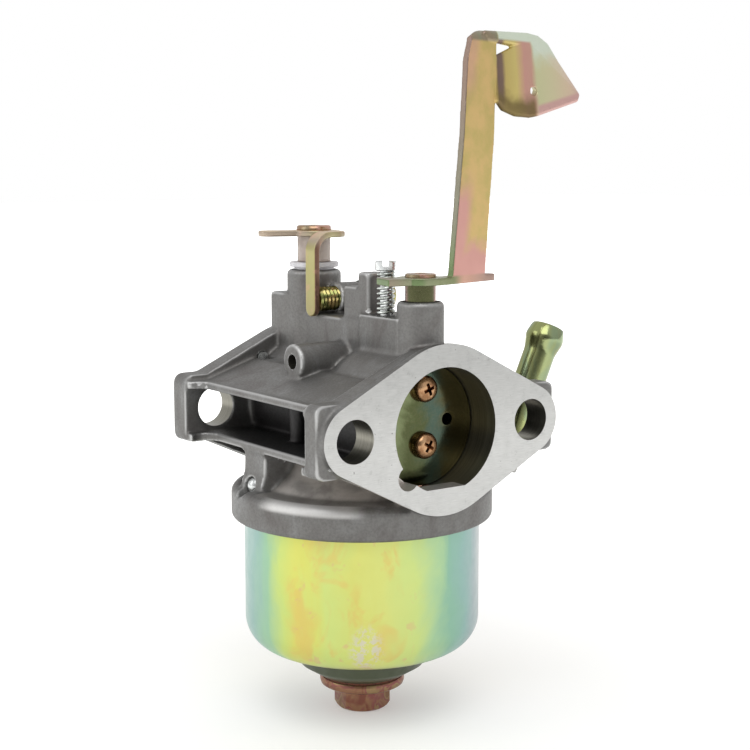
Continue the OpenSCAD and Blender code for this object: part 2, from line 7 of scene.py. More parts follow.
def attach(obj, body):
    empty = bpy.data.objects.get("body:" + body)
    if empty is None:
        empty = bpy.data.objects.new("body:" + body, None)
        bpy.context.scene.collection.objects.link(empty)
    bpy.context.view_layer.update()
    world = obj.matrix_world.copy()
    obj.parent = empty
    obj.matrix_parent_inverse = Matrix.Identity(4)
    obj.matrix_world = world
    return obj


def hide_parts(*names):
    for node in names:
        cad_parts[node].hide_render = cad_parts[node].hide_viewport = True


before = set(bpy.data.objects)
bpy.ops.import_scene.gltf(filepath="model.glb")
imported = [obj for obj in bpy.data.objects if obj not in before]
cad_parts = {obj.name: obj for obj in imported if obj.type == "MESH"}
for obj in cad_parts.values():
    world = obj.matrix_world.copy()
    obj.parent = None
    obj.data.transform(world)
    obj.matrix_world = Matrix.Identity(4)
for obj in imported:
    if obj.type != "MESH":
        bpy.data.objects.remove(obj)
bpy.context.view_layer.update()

MM = 0.001
AZIMUTH, PITCH = -35.78, 7.935
CAMERA_AT = (-173.7, -272.9, 49.33)
LENS = 71.96
FLOOR_Z = -61.9
AIR_FACE_Y = -55
STUD_X = 21
BOWL_Y, BOWL_TURN = -27.3, -35.78
THROTTLE_Y, CHOKE_Y = -10, -46.7
THROTTLE_PLATE_Z, CHOKE_PLATE_Z = 34.9, 27
THROTTLE_TOP, CHOKE_TOP = 28, 23.8
STOP_Y, STOP_Z = -17.8, 22.4
PILOT_X, PILOT_Y = -2.5, -38.9
BARB_FOOT, BARB_LEAN, BARB_LEN = (30.9, -36, -10), 25, 30
ROOT = "carburetor_body"
SKY = 0.95

scene = bpy.context.scene
scene.view_settings.view_transform = "Standard"


# ---------------------------------------------------------------- materials

class Shader:
    """A node material; positions are in millimetres in the part's own frame."""

    def __init__(self, name):
        self.material = bpy.data.materials.new(name)
        self.material.use_nodes = True
        self.tree = self.material.node_tree
        self.bsdf = self.tree.nodes["Principled BSDF"]
        coords = self.tree.nodes.new("ShaderNodeTexCoord")
        scale = self.node("ShaderNodeVectorMath", operation="SCALE")
        scale.inputs["Scale"].default_value = 1000
        self.tree.links.new(coords.outputs["Object"], scale.inputs[0])
        self.pos = scale.outputs[0]
        self.normal = coords.outputs["Normal"]

    def node(self, kind, **props):
        n = self.tree.nodes.new(kind)
        for key, value in props.items():
            setattr(n, key, value)
        return n

    def plug(self, socket, value):
        if isinstance(value, bpy.types.NodeSocket):
            self.tree.links.new(value, socket)
        elif hasattr(value, "__len__") and len(value) == 3 and len(socket.default_value) == 4:
            socket.default_value = (*value, 1)
        else:
            socket.default_value = value

    def set(self, **values):
        for key, value in values.items():
            self.plug(self.bsdf.inputs[key.replace("_", " ")], value)
        return self

    def math(self, operation, a, b=0.0):
        n = self.node("ShaderNodeMath", operation=operation)
        self.plug(n.inputs[0], a)
        self.plug(n.inputs[1], b)
        return n.outputs[0]

    def stretch(self, by, shift=(0, 0, 0)):
        n = self.node("ShaderNodeMapping")
        self.plug(n.inputs["Vector"], self.pos)
        n.inputs["Scale"].default_value = by
        n.inputs["Location"].default_value = shift
        return n.outputs[0]

    def noise(self, scale, detail=2, rough=0.5, vector=None, warp=0.0):
        n = self.node("ShaderNodeTexNoise")
        self.plug(n.inputs["Vector"], vector or self.pos)
        for key, value in (("Scale", scale), ("Detail", detail), ("Roughness", rough),
                           ("Distortion", warp)):
            n.inputs[key].default_value = value
        return n.outputs["Fac"]

    def split(self, vector):
        n = self.node("ShaderNodeSeparateXYZ")
        self.plug(n.inputs[0], vector)
        return n.outputs

    def ramp(self, fac, stops, interpolation="EASE"):
        n = self.node("ShaderNodeValToRGB")
        n.color_ramp.interpolation = interpolation
        while len(n.color_ramp.elements) < len(stops):
            n.color_ramp.elements.new(0.5)
        for element, (at, colour) in zip(n.color_ramp.elements, stops):
            element.position = at
            element.color = (*colour, 1) if hasattr(colour, "__len__") else (colour,) * 3 + (1,)
        self.plug(n.inputs[0], fac)
        return n.outputs[0]

    def span(self, value, low, high, to_low=0.0, to_high=1.0):
        n = self.node("ShaderNodeMapRange", interpolation_type="SMOOTHSTEP")
        for key, v in (("Value", value), ("From Min", low), ("From Max", high),
                       ("To Min", to_low), ("To Max", to_high)):
            self.plug(n.inputs[key], v)
        return n.outputs[0]

    def mix(self, fac, a, b, blend="MIX"):
        n = self.node("ShaderNodeMix", data_type="RGBA", blend_type=blend)
        self.plug(n.inputs[0], fac)
        self.plug(n.inputs[6], a)
        self.plug(n.inputs[7], b)
        return n.outputs[2]

    def dim(self, colour, share):
        return self.mix(1.0, colour, (share,) * 3, "MULTIPLY")

    def bump(self, height, distance, strength=1.0, under=None):
        n = self.node("ShaderNodeBump")
        n.inputs["Strength"].default_value = strength
        n.inputs["Distance"].default_value = distance * MM
        self.plug(n.inputs["Height"], height)
        if under is not None:
            self.plug(n.inputs["Normal"], under)
        return n.outputs[0]

    def edges(self, low, high):
        """1 on convex edges, from the mesh's pointiness."""
        n = self.node("ShaderNodeNewGeometry")
        return self.span(n.outputs["Pointiness"], low, high)


def srgb(*c):
    return tuple(((v / 255 + 0.055) / 1.055) ** 2.4 if v > 10 else v / 255 / 12.92 for v in c)


def cast_aluminium():
    s = Shader("cast_aluminium")
    grain = s.noise(2.2, 3, 0.6)
    fine = s.noise(7.0, 2, 0.6)
    flow = s.noise(0.16, 3, 0.6, s.stretch((1, 1, 0.5)), 0.6)
    base = s.ramp(flow, [(0.3, srgb(105, 102, 100)), (0.5, srgb(116, 115, 113)),
                         (0.7, srgb(128, 128, 127))])
    base = s.mix(s.span(grain, 0.35, 0.7, 0.0, 0.3), base, srgb(98, 95, 93))
    x, y, z = s.split(s.pos)[:3]
    back = s.math("ADD", y, -BOWL_Y)
    out = s.math("SQRT", s.math("ADD", s.math("MULTIPLY", x, x), s.math("MULTIPLY", back, back)))
    # Rubbed edges, lightened partly as wear and partly as a painted edge highlight; none round the ring's
    # side
    ring_side = s.math("MULTIPLY", s.span(out, 26.0, 26.2), s.span(z, -15.4, -15.8))
    wear_and_edge_highlight = s.math("MULTIPLY", s.edges(0.511, 0.547), s.math("SUBTRACT", 1, ring_side))
    base = s.mix(wear_and_edge_highlight, base, srgb(178, 178, 177))
    # Painted light: the metal under the lower webs is lightened where it lies in shade
    low = s.math("MULTIPLY", s.span(z, -6.6, -8.4), s.span(z, -14.6, -13.4))
    low = s.math("MULTIPLY", low, s.span(y, -26.3, -27.5))
    low = s.math("MULTIPLY", low, s.span(flow, 0.3, 0.6, 0.4, 0.75))
    base = s.mix(low, base, srgb(206, 200, 194))
    # Painted shade: the metal far between the webs is darkened almost to black
    web_shade = s.math("MULTIPLY", s.span(z, -5.4, -4.8), s.span(z, 4.8, 4.2))
    web_shade = s.math("MULTIPLY", web_shade, s.span(s.math("ABSOLUTE", x), 9, 12))
    web_shade = s.math("MULTIPLY", web_shade, s.math("MULTIPLY", s.span(y, -50.5, -48), s.span(y, -4.8, -7)))
    base = s.mix(s.math("MULTIPLY", web_shade, 0.82), base, srgb(30, 29, 31))
    # Painted highlight on one side of the ring's shoulder
    side = s.math("ADD", s.math("MULTIPLY", x, -0.857), s.math("MULTIPLY", back, -0.515))
    side = s.math("DIVIDE", side, out)
    bright = s.math("MULTIPLY", s.span(z, -16.5, -15.6), s.span(out, 24.4, 25.1))
    bright = s.math("MULTIPLY", bright, s.span(side, 0.89, 0.965))
    bright = s.math("MULTIPLY", bright, s.span(z, -13.6, -14.2))
    base = s.mix(s.math("MULTIPLY", bright, 0.9), base, srgb(204, 203, 201))
    rough = s.math("ADD", s.span(grain, 0.3, 0.7, 0.44, 0.58), s.math("MULTIPLY", wear_and_edge_highlight, -0.12))
    normal = s.bump(grain, 0.04, 0.45, s.bump(fine, 0.015, 0.5))
    s.set(Base_Color=base, Metallic=0.8, Roughness=rough, Normal=normal)
    return s.material


def machined_aluminium():
    s = Shader("machined_aluminium")
    cuts = s.noise(1.0, 4, 0.7, s.stretch((0.35, 3, 9)))
    spots = s.noise(0.9, 4, 0.7)
    base = s.ramp(cuts, [(0.3, srgb(182, 182, 180)), (0.7, srgb(198, 198, 196))])
    base = s.mix(s.span(spots, 0.58, 0.75, 0, 0.5), base, srgb(156, 156, 154))
    # Painted shade: the machined faces darken towards the top
    base = s.mix(s.span(s.split(s.pos)[2], -6, 15), base, s.dim(base, 0.76))
    pits = s.span(s.noise(1.7, 2, 0.5), 0.73, 0.78)
    base = s.mix(pits, base, srgb(110, 108, 106))
    rough = s.span(spots, 0.3, 0.7, 0.38, 0.52)
    s.set(Base_Color=base, Metallic=0.72, Roughness=rough,
          Normal=s.bump(s.math("ADD", cuts, s.math("MULTIPLY", pits, -1)), 0.03, 0.45))
    return s.material


def bore_aluminium():
    """Turned bores: fine rings round the bore axis."""
    s = Shader("bore_aluminium")
    rings = s.noise(1.0, 2, 0.5, s.stretch((0.05, 7, 0.05)))
    base = s.ramp(rings, [(0.35, srgb(120, 117, 107)), (0.65, srgb(142, 140, 130))])
    s.set(Base_Color=base, Metallic=0.95, Roughness=0.33, Normal=s.bump(rings, 0.03, 0.5))
    return s.material


def zinc(name, palette, field, metallic, rough):
    """Chromated zinc: a palette laid over a field, with fine grain."""
    s = Shader(name)
    base = s.ramp(field(s), palette)
    fine = s.noise(3.5, 3, 0.6)
    base = s.mix(s.span(fine, 0.4, 0.7, 0, 0.12), base, srgb(120, 110, 90))
    r = s.span(s.noise(0.5, 3, 0.6), 0.3, 0.7, rough * 0.85, rough * 1.25)
    s.set(Base_Color=base, Metallic=metallic, Roughness=r, Normal=s.bump(fine, 0.015, 0.6))
    return s.material


def cloud_field(scale, stretch=(1, 1, 1)):
    """Noise spread to 0..1."""
    def field(s):
        return s.span(s.noise(scale, 2, 0.5, s.stretch(stretch), 0.7), 0.28, 0.72)
    return field


def side_field(width):
    """Runs from 0 at the left rim of a disc to 1 at the right, drifting a little."""
    def field(s):
        drift = s.math("MULTIPLY", s.math("ADD", s.noise(0.13, 3, 0.55, None, 0.8), -0.5), 0.5)
        return s.math("ADD", s.math("ADD", s.math("DIVIDE", s.split(s.pos)[0], width), 0.5), drift)
    return field


def painted_reflection_field(s):
    """1 on the side that faces the front left, 0 on the opposite side; it lays a painted reflection over a
    surface by the way it faces.
    """
    nx, ny = s.split(s.normal)[:2]
    lean = s.math("ADD", s.math("MULTIPLY", nx, -0.29), s.math("MULTIPLY", ny, -0.4))
    drift = s.math("MULTIPLY", s.math("ADD", s.noise(0.5), -0.5), 0.1)
    return s.math("ADD", s.math("ADD", lean, 0.5), drift)


def bowl_zinc():
    s = Shader("bowl_zinc")
    x, y, z = s.split(s.pos)[:3]
    back = s.math("ADD", y, -BOWL_Y)
    # Angle round the bowl, 0 towards the lower left corner of the plan, the side the camera is on; the
    # chromate's colours are laid round by this angle, so their shift round the bowl is a painted iridescent
    # sheen
    turn = radians(BOWL_TURN)
    u = s.math("ADD", s.math("MULTIPLY", x, cos(turn)), s.math("MULTIPLY", back, sin(turn)))
    v = s.math("ADD", s.math("MULTIPLY", x, sin(turn)), s.math("MULTIPLY", back, -cos(turn)))
    angle = s.math("DIVIDE", s.math("ARCTAN2", u, v), pi)
    streak = s.noise(0.13, 3, 0.55, s.stretch((1, 1, 0.45)), 0.9)
    fac = s.math("ADD", s.math("MULTIPLY", angle, 0.5), 0.5)
    fac = s.math("ADD", fac, s.math("MULTIPLY", s.math("ADD", streak, -0.5), 0.06))
    base = s.ramp(fac, [
        (0.0, srgb(204, 172, 100)), (0.08, srgb(222, 212, 110)), (0.16, srgb(206, 222, 132)),
        (0.22, srgb(168, 204, 172)), (0.25, srgb(190, 208, 200)), (0.285, srgb(176, 202, 196)),
        (0.323, srgb(156, 194, 186)), (0.36, srgb(164, 208, 168)), (0.392, srgb(210, 228, 128)),
        (0.42, srgb(226, 226, 112)), (0.455, srgb(214, 230, 134)), (0.495, srgb(224, 226, 122)),
        (0.53, srgb(224, 230, 132)), (0.57, srgb(212, 230, 140)), (0.602, srgb(180, 216, 164)),
        (0.629, srgb(148, 196, 170)), (0.663, srgb(150, 190, 182)), (0.694, srgb(164, 184, 186)),
        (0.75, srgb(200, 202, 202)), (0.8, srgb(206, 186, 160)), (0.87, srgb(218, 204, 112)),
        (0.94, srgb(206, 168, 112))], "LINEAR")
    warm = s.span(s.noise(0.17, 3, 0.55, s.stretch((1, 1, 0.7), (3, 1, 2)), 0.6), 0.5, 0.68, 0, 0.6)
    near = s.math("MULTIPLY", s.span(fac, 0.39, 0.42), s.span(fac, 0.6, 0.54))
    base = s.mix(s.math("MULTIPLY", warm, near), base, srgb(232, 196, 108))
    pink = s.span(s.noise(0.3, 3, 0.6, s.stretch((1, 1, 0.8), (7, 0, 4)), 0.4), 0.6, 0.7, 0, 0.6)
    base = s.mix(s.math("MULTIPLY", pink, near), base, srgb(226, 186, 140))
    # Rubbed spot low on the side
    spot = s.node("ShaderNodeVectorMath", operation="DISTANCE")
    s.plug(spot.inputs[0], s.stretch((1, 1, 0.62)))
    spot.inputs[1].default_value = (-13.2, BOWL_Y - 20.2, -43.2 * 0.62)
    rubbed = s.math("MULTIPLY", s.span(spot.outputs["Value"], 4.2, 2.0),
                    s.span(s.noise(0.9, 3, 0.7), 0.44, 0.56))
    base = s.mix(s.math("MULTIPLY", rubbed, 0.8), base, srgb(226, 220, 206))
    # Painted shade: the underside is darkened
    under = s.span(z, -46.6, -49.3)
    base = s.dim(s.mix(under, base, srgb(86, 94, 70)), 0.81)
    fine = s.noise(3.0, 3, 0.6)
    rough = s.math("ADD", s.span(s.noise(0.4, 3, 0.6), 0.3, 0.7, 0.3, 0.42),
                   s.math("MULTIPLY", rubbed, 0.2))
    s.set(Base_Color=base, Metallic=0.55, Roughness=rough, Normal=s.bump(fine, 0.012, 0.6))
    return s.material


def strap_zinc():
    """Yellow chromate on the choke lever; pink low on the strap; on the flag, painted shade and a whitish
    green painted reflection of the sky.
    """
    s = Shader("strap_zinc")
    x, y, z = s.split(s.pos)[:3]
    nx, ny = s.split(s.normal)[:2]
    wander = s.math("MULTIPLY", s.math("ADD", s.noise(0.22, 3, 0.55), -0.5), 7)
    zw = s.math("ADD", z, wander)
    c, d = cos(radians(15)), sin(radians(15))
    across = s.math("ADD", s.math("MULTIPLY", x, c), s.math("MULTIPLY", s.math("ADD", y, -CHOKE_Y), d))
    lean = s.math("ADD", s.math("MULTIPLY", z, -0.125), s.math("MULTIPLY", wander, 0.3))
    across = s.math("ADD", across, lean)
    cloud = s.noise(0.3, 3, 0.55)
    base = s.mix(s.span(cloud, 0.3, 0.7), srgb(188, 168, 98), srgb(206, 174, 112))
    left = s.math("MULTIPLY", s.span(zw, 49, 42), s.span(across, 5.6, 2.4))
    pink = s.math("MAXIMUM", left, s.span(zw, 36.5, 32.5))
    high = s.math("MULTIPLY", s.span(zw, 60, 67), s.span(across, 4, 1))
    pink = s.math("MAXIMUM", pink, s.math("MULTIPLY", high, 0.5))
    base = s.mix(pink, base, srgb(202, 149, 139))
    # Flag, dark at its left end as painted shade on the curl
    along = s.math("ADD", s.math("ADD", x, s.math("MULTIPLY", wander, 0.15)), -18)
    flag = s.ramp(s.math("DIVIDE", along, 24), [
        (0.0, srgb(112, 92, 84)), (0.06, srgb(120, 98, 86)), (0.1, srgb(188, 168, 102)),
        (0.22, srgb(200, 182, 112)), (0.32, srgb(195, 147, 134)), (0.4, srgb(194, 150, 134)),
        (0.45, srgb(196, 195, 152)), (0.62, srgb(202, 194, 156)), (0.85, srgb(210, 186, 160)),
        (0.97, srgb(200, 168, 156))], "LINEAR")
    # Painted shade: brown low on the flag's near panel
    brown = s.math("MULTIPLY", s.span(zw, 65, 61), s.span(x, 28.4, 27.2))
    flag = s.mix(s.math("MULTIPLY", brown, 0.9), flag, srgb(112, 95, 54))
    lower = s.math("ADD", z, s.math("MULTIPLY", s.math("ADD", x, -28.3), -0.231))
    band = s.math("MULTIPLY", s.span(lower, 61.6, 60.7), s.span(x, 27.6, 28.8))
    flag = s.mix(band, flag, srgb(200, 160, 153))
    # Painted reflection of the sky: light green where the flag's top faces up
    pale = s.math("MULTIPLY", s.span(zw, 68, 73), s.span(x, 27.6, 29))
    pale = s.math("MAXIMUM", pale, s.span(z, 73.3, 73.9))
    flag = s.mix(pale, flag, srgb(206, 216, 196))
    base = s.mix(s.span(x, 17.9, 18.5), base, flag)
    # Painted shade on the roll at the strap's top
    roll_shade = s.math("MULTIPLY", s.span(z, 72.7, 73.4), s.span(x, 18.6, 17.8))
    base = s.mix(roll_shade, base, s.mix(s.span(cloud, 0.4, 0.6), srgb(140, 126, 102), srgb(132, 132, 104)))
    # Plate on the shaft
    plate = s.ramp(s.math("DIVIDE", s.math("ADD", x, 10), 30),
                   [(0.0, srgb(150, 138, 120)), (0.25, srgb(138, 144, 112)), (0.5, srgb(126, 132, 92)),
                    (0.62, srgb(196, 152, 132)), (0.9, srgb(160, 132, 120)), (1.0, srgb(168, 150, 140))])
    base = s.mix(s.span(z, 28.9, 28.3), base, plate)
    # Sheared left edge, darkened as painted shade
    edge = s.math("ADD", s.math("MULTIPLY", nx, -c), s.math("MULTIPLY", ny, -d))
    edge = s.math("MULTIPLY", s.span(edge, 0.55, 0.8), s.span(x, 17, 16))
    base = s.mix(edge, base, s.ramp(s.math("DIVIDE", z, 80), [
        (0.35, srgb(112, 132, 88)), (0.5, srgb(132, 130, 112)), (0.9, srgb(140, 118, 106))]))
    grain = s.noise(3.5, 3, 0.6)
    s.set(Base_Color=s.dim(base, 0.82), Metallic=0.6, Roughness=s.span(cloud, 0.3, 0.7, 0.3, 0.4),
          Normal=s.bump(grain, 0.012, 0.6))
    return s.material


def lever_zinc():
    """Throttle lever: olive tab with brown sheared edges, pinkish arm."""
    s = Shader("lever_zinc")
    x, _, z = s.split(s.pos)[:3]
    _, ny, nz = s.split(s.normal)[:3]
    cloud = s.noise(0.35, 3, 0.55)
    tab = s.ramp(s.math("DIVIDE", s.math("ADD", z, -18), 18),
                 [(0.0, srgb(148, 138, 94)), (0.5, srgb(160, 154, 100)), (1.0, srgb(172, 164, 116))])
    tab = s.mix(s.span(ny, -0.5, -0.8), tab, srgb(120, 92, 76))
    arm = s.ramp(s.math("DIVIDE", s.math("ADD", x, 12), 20),
                 [(0.0, srgb(166, 150, 132)), (0.35, srgb(156, 142, 126)), (0.52, srgb(176, 168, 132)),
                  (0.66, srgb(150, 140, 112)), (0.78, srgb(120, 98, 88)), (0.95, srgb(150, 96, 96))])
    # Painted light: the arm's upward faces are lighter
    arm = s.mix(s.span(nz, 0.5, 0.9), arm, srgb(186, 166, 134))
    base = s.mix(s.span(z, 32.6, 34.8), tab, arm)
    base = s.mix(s.span(cloud, 0.5, 0.68, 0, 0.4), base, srgb(196, 150, 132))
    grain = s.noise(3.5, 3, 0.6)
    s.set(Base_Color=base, Metallic=0.6, Roughness=s.span(cloud, 0.3, 0.7, 0.3, 0.42),
          Normal=s.bump(grain, 0.012, 0.6))
    return s.material


def nylon(name, colour, dark):
    s = Shader(name)
    cloud = s.noise(0.5, 2, 0.5)
    base = s.mix(s.span(cloud, 0.35, 0.65), colour, dark)
    s.set(Base_Color=base, Roughness=s.span(s.noise(2.0), 0.3, 0.7, 0.4, 0.55),
          Subsurface_Weight=0.25, Subsurface_Radius=(0.001, 0.001, 0.001),
          Normal=s.bump(s.noise(4.0, 3), 0.01, 0.5))
    return s.material


def metal(name, light, dark, rough, scale=0.6, metallic=1.0, grain=0.012):
    s = Shader(name)
    cloud = s.noise(scale, 3, 0.6)
    base = s.mix(s.span(cloud, 0.35, 0.65), light, dark)
    fine = s.noise(5.0, 2, 0.6)
    s.set(Base_Color=base, Metallic=metallic,
          Roughness=s.span(fine, 0.3, 0.7, rough * 0.85, rough * 1.2),
          Normal=s.bump(fine, grain, 0.5))
    return s.material


def dull(name, light, dark, rough, scale, grain):
    return metal(name, light, dark, rough, scale, 0.0, grain)


CAST = cast_aluminium()
MACHINED = machined_aluminium()
BORE = bore_aluminium()
BOWL = bowl_zinc()
STRAP = strap_zinc()
LEVER = lever_zinc()
# Chromate colours on the choke plate, darkening towards the right as a painted reflection
PLATE = zinc("plate_zinc", [
    (0.05, srgb(136, 146, 84)), (0.15, srgb(94, 118, 116)), (0.27, srgb(98, 106, 76)),
    (0.4, srgb(66, 72, 46)), (0.62, srgb(60, 75, 66)), (0.8, srgb(70, 65, 40))], side_field(24), 1.0, 0.13)
TUBE = zinc("tube_zinc", [
    (0.0, srgb(116, 120, 76)), (0.4, srgb(146, 152, 102)), (0.7, srgb(130, 145, 113)),
    (1.0, srgb(150, 137, 87))], cloud_field(0.15, (1, 1, 0.4)), 1.0, 0.16)
SCREW_GOLD = zinc("screw_zinc", [
    (0.0, srgb(124, 116, 66)), (0.4, srgb(172, 160, 104)), (0.7, srgb(126, 132, 78)),
    (1.0, srgb(180, 156, 104))], cloud_field(0.3), 1.0, 0.22)
SHAFT = zinc("shaft_zinc", [
    (0.0, srgb(142, 130, 106)), (0.4, srgb(158, 132, 104)), (0.7, srgb(190, 148, 132)),
    (1.0, srgb(132, 126, 92))], cloud_field(0.2), 0.95, 0.26)
# Painted reflection: the stub darkens on the side that faces the front left
STUB = zinc("stub_zinc", [
    (0.3, srgb(158, 120, 126)), (0.62, srgb(136, 104, 98)), (0.84, srgb(72, 74, 50))],
    painted_reflection_field, 0.95, 0.24)
BOLT = zinc("bolt_zinc", [
    (0.0, srgb(128, 78, 66)), (0.35, srgb(150, 110, 84)), (0.6, srgb(138, 84, 80)),
    (0.8, srgb(156, 128, 92)), (1.0, srgb(132, 96, 68))], cloud_field(0.25), 0.8, 0.34)
COPPER = metal("copper_zinc", srgb(188, 150, 114), srgb(142, 104, 74), 0.24, 0.5)
BRASS = metal("brass", srgb(214, 182, 108), srgb(178, 142, 74), 0.28)
BRASS_PLATE = metal("brass_plate", srgb(206, 178, 100), srgb(168, 136, 72), 0.3, 0.3)
BRIGHT = metal("bright_steel", srgb(222, 225, 224), srgb(184, 186, 186), 0.26)
SPRING = metal("spring_steel", srgb(212, 216, 212), srgb(150, 154, 150), 0.24, 0.8)
NEEDLE = metal("needle_steel", srgb(120, 120, 122), srgb(80, 80, 84), 0.3)
PINK_NYLON = nylon("pale_nylon", srgb(182, 170, 162), srgb(166, 152, 143))
WHITE_NYLON = nylon("white_nylon", srgb(206, 205, 208), srgb(190, 188, 192))
FELT = dull("felt", srgb(70, 66, 62), srgb(44, 41, 38), 0.95, 1.5, 0.12)
RUBBER = dull("rubber", srgb(40, 40, 41), srgb(26, 26, 27), 0.6, 1.0, 0.03)
FIBRE = dull("fibre", srgb(112, 66, 46), srgb(84, 48, 36), 0.8, 1.8, 0.05)
PLASTIC = dull("float_plastic", srgb(56, 50, 46), srgb(40, 36, 33), 0.5, 0.6, 0.02)


# ---------------------------------------------------------------- mesh tools

def new_object(name, verts, faces, material=None):
    mesh = bpy.data.meshes.new(name)
    mesh.from_pydata([Vector(v) * MM for v in verts], [], faces)
    mesh.validate()
    bm = bmesh.new()
    bm.from_mesh(mesh)
    bmesh.ops.remove_doubles(bm, verts=bm.verts, dist=1e-7)
    bmesh.ops.recalc_face_normals(bm, faces=bm.faces)
    bm.to_mesh(mesh)
    bm.free()
    obj = bpy.data.objects.new(name, mesh)
    scene.collection.objects.link(obj)
    if material:
        mesh.materials.append(material)
    return obj


def place(obj, matrix):
    """Applies a placement given in millimetres to the mesh."""
    m = matrix.copy()
    m.translation = m.translation * MM
    obj.data.transform(m)
    return obj


def shift(x, y, z):
    return Matrix.Translation((x, y, z))


def turn(degrees, axis):
    return Matrix.Rotation(radians(degrees), 4, axis)


TOWARD_AIR = turn(90, "X")   # local Z becomes -Y
ALONG_X = turn(90, "Y")      # local Z becomes +X


def fillet(points, radii):
    """Rounds the corners of a closed outline; radii is one number or one for each corner."""
    steps = 5
    n, out = len(points), []
    for i, p in enumerate(points):
        r = radii if not hasattr(radii, "__len__") else radii[i]
        p, a, b = Vector(p), Vector(points[i - 1]), Vector(points[(i + 1) % n])
        da, db = (a - p), (b - p)
        if r <= 0 or da.length < 1e-6 or db.length < 1e-6:
            out.append(tuple(p))
            continue
        half = da.angle(db) / 2
        cut = min(r / max(tan(half), 1e-3), da.length * 0.49, db.length * 0.49)
        start, end = p + da.normalized() * cut, p + db.normalized() * cut
        for k in range(steps + 1):
            t = k / steps
            out.append(tuple((start * (1 - t) ** 2) + p * 2 * t * (1 - t) + end * t ** 2))
    return out


def lathe(name, profile, material=None, segments=96, radii=0.0):
    """Turns a closed outline of (r, z) points round Z. Points at r = 0 close the axis."""
    outline = fillet(profile, radii) if radii else profile
    verts, faces, n = [], [], len(outline)
    for k in range(segments):
        a = 2 * pi * k / segments
        verts += [(r * cos(a), r * sin(a), z) for r, z in outline]
    for k in range(segments):
        for i in range(n):
            j = (i + 1) % n
            if outline[i][0] < 1e-9 and outline[j][0] < 1e-9:
                continue
            a, b = k * n, (k + 1) % segments * n
            faces.append((a + i, b + i, b + j, a + j))
    return new_object(name, verts, faces, material)


def prism(name, outline, z0, z1, material=None):
    n = len(outline)
    verts = [(x, y, z) for z in (z0, z1) for x, y in outline]
    faces = [tuple(range(n - 1, -1, -1)), tuple(range(n, 2 * n))]
    faces += [(i, (i + 1) % n, n + (i + 1) % n, n + i) for i in range(n)]
    return new_object(name, verts, faces, material)


def box(name, low, high, material=None):
    outline = [(low[0], low[1]), (high[0], low[1]), (high[0], high[1]), (low[0], high[1])]
    return prism(name, outline, low[2], high[2], material)


def rod(name, r, z0, z1, material=None, segments=64):
    return lathe(name, [(0, z0), (r, z0), (r, z1), (0, z1)], material, segments)


def arc(cx, cy, r, a0, a1, steps=24):
    return [(cx + r * cos(radians(a0 + (a1 - a0) * k / steps)),
             cy + r * sin(radians(a0 + (a1 - a0) * k / steps))) for k in range(steps + 1)]


def thread(name, r, depth, pitch, z0, z1, material):
    """Screw with a cut thread, its ends closed and its tip chamfered."""
    per_turn, sides, tip = 10, 40, 0.5
    rows = int((z1 - z0) / pitch * per_turn)
    verts, faces = [], []
    for i in range(rows + 1):
        z = z0 + (z1 - z0) * i / rows
        for k in range(sides):
            phase = (z / pitch - k / sides) % 1
            groove = depth * abs(2 * phase - 1)
            limit = r - tip + (z - z0) if z - z0 < tip else r
            q = min(r - groove, limit)
            a = 2 * pi * k / sides
            verts.append((q * cos(a), q * sin(a), z))
    for i in range(rows):
        for k in range(sides):
            a, b = i * sides, (i + 1) * sides
            faces.append((a + k, a + (k + 1) % sides, b + (k + 1) % sides, b + k))
    faces += [tuple(range(sides - 1, -1, -1)), tuple(rows * sides + k for k in range(sides))]
    return new_object(name, verts, faces, material)


def coil(name, r, wire, turns, height, material):
    """Compression spring along Z with closed, ground ends."""
    steps, sides = 36, 10
    n = int(turns * steps)
    verts, faces = [], []
    for i in range(n + 1):
        t = i / steps
        rise = 2 * wire * (min(t, 1) + max(0, t - turns + 1))
        rise += (height - 6 * wire) * min(1, max(0, (t - 1) / (turns - 2)))
        a = 2 * pi * t
        for k in range(sides):
            b = 2 * pi * k / sides
            q = r + wire * cos(b)
            z = min(max(wire + rise + wire * sin(b), 0), height)
            verts.append((q * cos(a), q * sin(a), z))
    for i in range(n):
        for k in range(sides):
            a, b = i * sides, (i + 1) * sides
            faces.append((a + k, a + (k + 1) % sides, b + (k + 1) % sides, b + k))
    faces += [tuple(range(sides - 1, -1, -1)), tuple(n * sides + k for k in range(sides))]
    return new_object(name, verts, faces, material)


def applied(obj):
    """Replaces an object's mesh by the result of its modifiers."""
    mesh = bpy.data.meshes.new_from_object(obj.evaluated_get(bpy.context.evaluated_depsgraph_get()))
    old, obj.data = obj.data, mesh
    obj.modifiers.clear()
    bpy.data.meshes.remove(old)
    return obj


def join(name, parts, material):
    """Joins closed meshes into one object; they may overlap."""
    bm = bmesh.new()
    mesh = bpy.data.meshes.new(name)
    for p in parts:
        bm.from_mesh(p.data)
        bpy.data.objects.remove(p)
    bm.to_mesh(mesh)
    bm.free()
    obj = bpy.data.objects.new(name, mesh)
    scene.collection.objects.link(obj)
    mesh.materials.append(material)
    return obj


def cut(obj, tools, operation="DIFFERENCE"):
    """Boolean with each tool in turn; a tool's material goes to the faces it leaves."""
    for tool in tools:
        for m in tool.data.materials:
            if m and m.name not in obj.data.materials:
                obj.data.materials.append(m)
        mod = obj.modifiers.new("cut", "BOOLEAN")
        mod.operation, mod.object, mod.solver = operation, tool, "MANIFOLD"
        mod.material_mode = "TRANSFER"
        tool.hide_render = True
        applied(obj)
        bpy.data.objects.remove(tool)
    return obj


